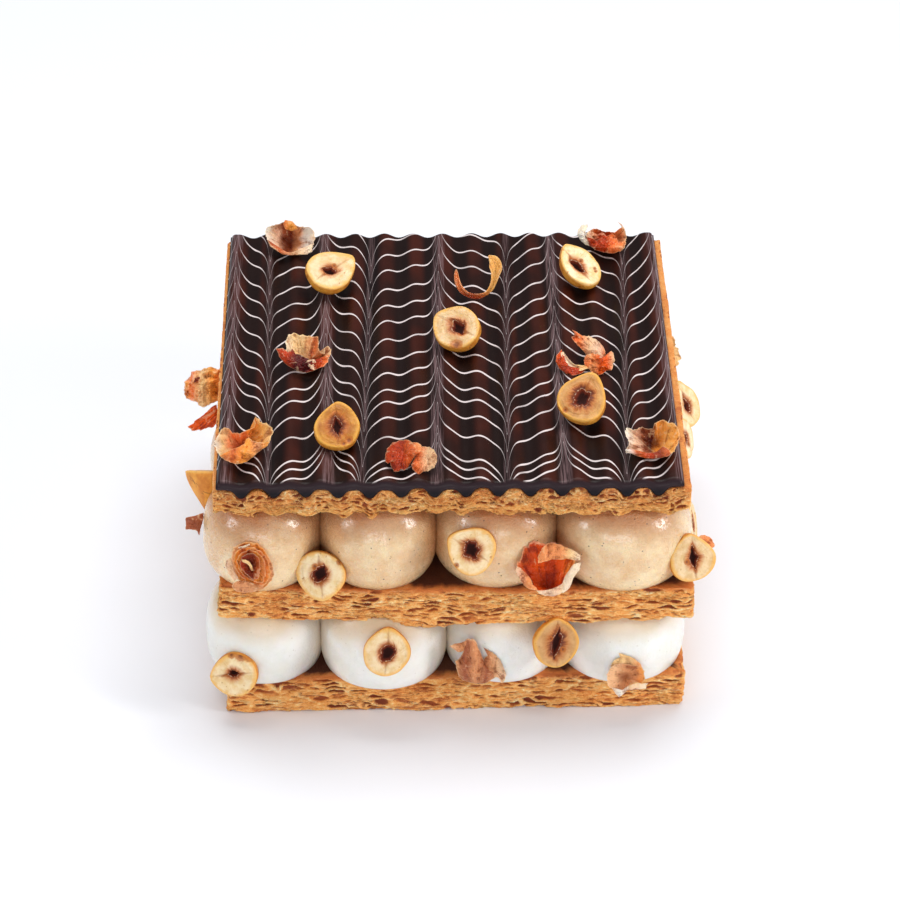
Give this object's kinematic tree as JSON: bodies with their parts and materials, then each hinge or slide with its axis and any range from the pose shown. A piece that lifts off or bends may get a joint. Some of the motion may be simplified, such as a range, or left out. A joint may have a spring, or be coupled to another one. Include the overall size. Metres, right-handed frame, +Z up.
{
  "type": "vanilla mille-feuille",
  "caption": "Square layered pastry with piped vanilla cream balls, a feathered corrugated chocolate glaze and split hazelnuts with curls of their skin.",
  "frame": {"origin": "centre of the bottom pastry sheet's underside, on the surface it rests on", "axes": "+X to the right, +Y from the front to the back, +Z up"},
  "size_m": [0.1501, 0.1512, 0.0905],
  "materials": {
    "pastry": "baked flaky puff pastry, golden brown, matt",
    "chocolate_glaze": "dark chocolate glaze feathered with thin white icing lines, satin gloss",
    "white_cream": "smooth white vanilla cream, soft sheen",
    "beige_cream": "smooth beige vanilla cream with fine dark specks, soft sheen",
    "hazelnut": "roasted hazelnut kernel, ivory cut face and golden rim",
    "hazelnut_skin": "thin papery rust-brown hazelnut skin, paler inside"
  },
  "bodies": {
    "root": {"base_pastry": "pastry", "middle_pastry": "pastry", "top_pastry": "pastry", "chocolate_glaze": "chocolate_glaze", "white_cream_front_1": "white_cream", "white_cream_front_2": "white_cream", "white_cream_front_3": "white_cream", "white_cream_front_4": "white_cream", "white_cream_back_1": "white_cream", "white_cream_back_2": "white_cream", "white_cream_back_3": "white_cream", "white_cream_back_4": "white_cream", "white_cream_row_2": "white_cream", "white_cream_row_3": "white_cream", "beige_cream_front_1": "beige_cream", "beige_cream_front_2": "beige_cream", "beige_cream_front_3": "beige_cream", "beige_cream_front_4": "beige_cream", "beige_cream_back_1": "beige_cream", "beige_cream_back_2": "beige_cream", "beige_cream_back_3": "beige_cream", "beige_cream_back_4": "beige_cream", "beige_cream_row_2": "beige_cream", "beige_cream_row_3": "beige_cream", "nut_top_1": "hazelnut", "nut_top_2": "hazelnut", "nut_top_3": "hazelnut", "nut_top_4": "hazelnut", "nut_top_5": "hazelnut", "skin_top_1": "hazelnut_skin", "skin_top_2": "hazelnut_skin", "skin_top_3": "hazelnut_skin", "skin_top_4": "hazelnut_skin", "skin_top_5": "hazelnut_skin", "skin_top_6": "hazelnut_skin", "skin_top_7": "hazelnut_skin", "skin_top_8": "hazelnut_skin", "nut_front_1": "hazelnut", "nut_front_2": "hazelnut", "nut_front_3": "hazelnut", "nut_front_4": "hazelnut", "nut_front_5": "hazelnut", "nut_front_6": "hazelnut", "skin_front_1": "hazelnut_skin", "skin_front_2": "hazelnut_skin", "skin_front_3": "hazelnut_skin", "skin_front_4": "hazelnut_skin", "nut_back_1": "hazelnut", "nut_back_2": "hazelnut", "skin_back_1": "hazelnut_skin", "skin_back_2": "hazelnut_skin", "nut_left_1": "hazelnut", "skin_left_1": "hazelnut_skin", "skin_left_2": "hazelnut_skin", "skin_left_3": "hazelnut_skin", "nut_right_1": "hazelnut", "nut_right_2": "hazelnut", "nut_right_3": "hazelnut", "skin_right_1": "hazelnut_skin", "skin_right_2": "hazelnut_skin"}
  },
  "joints": []
}
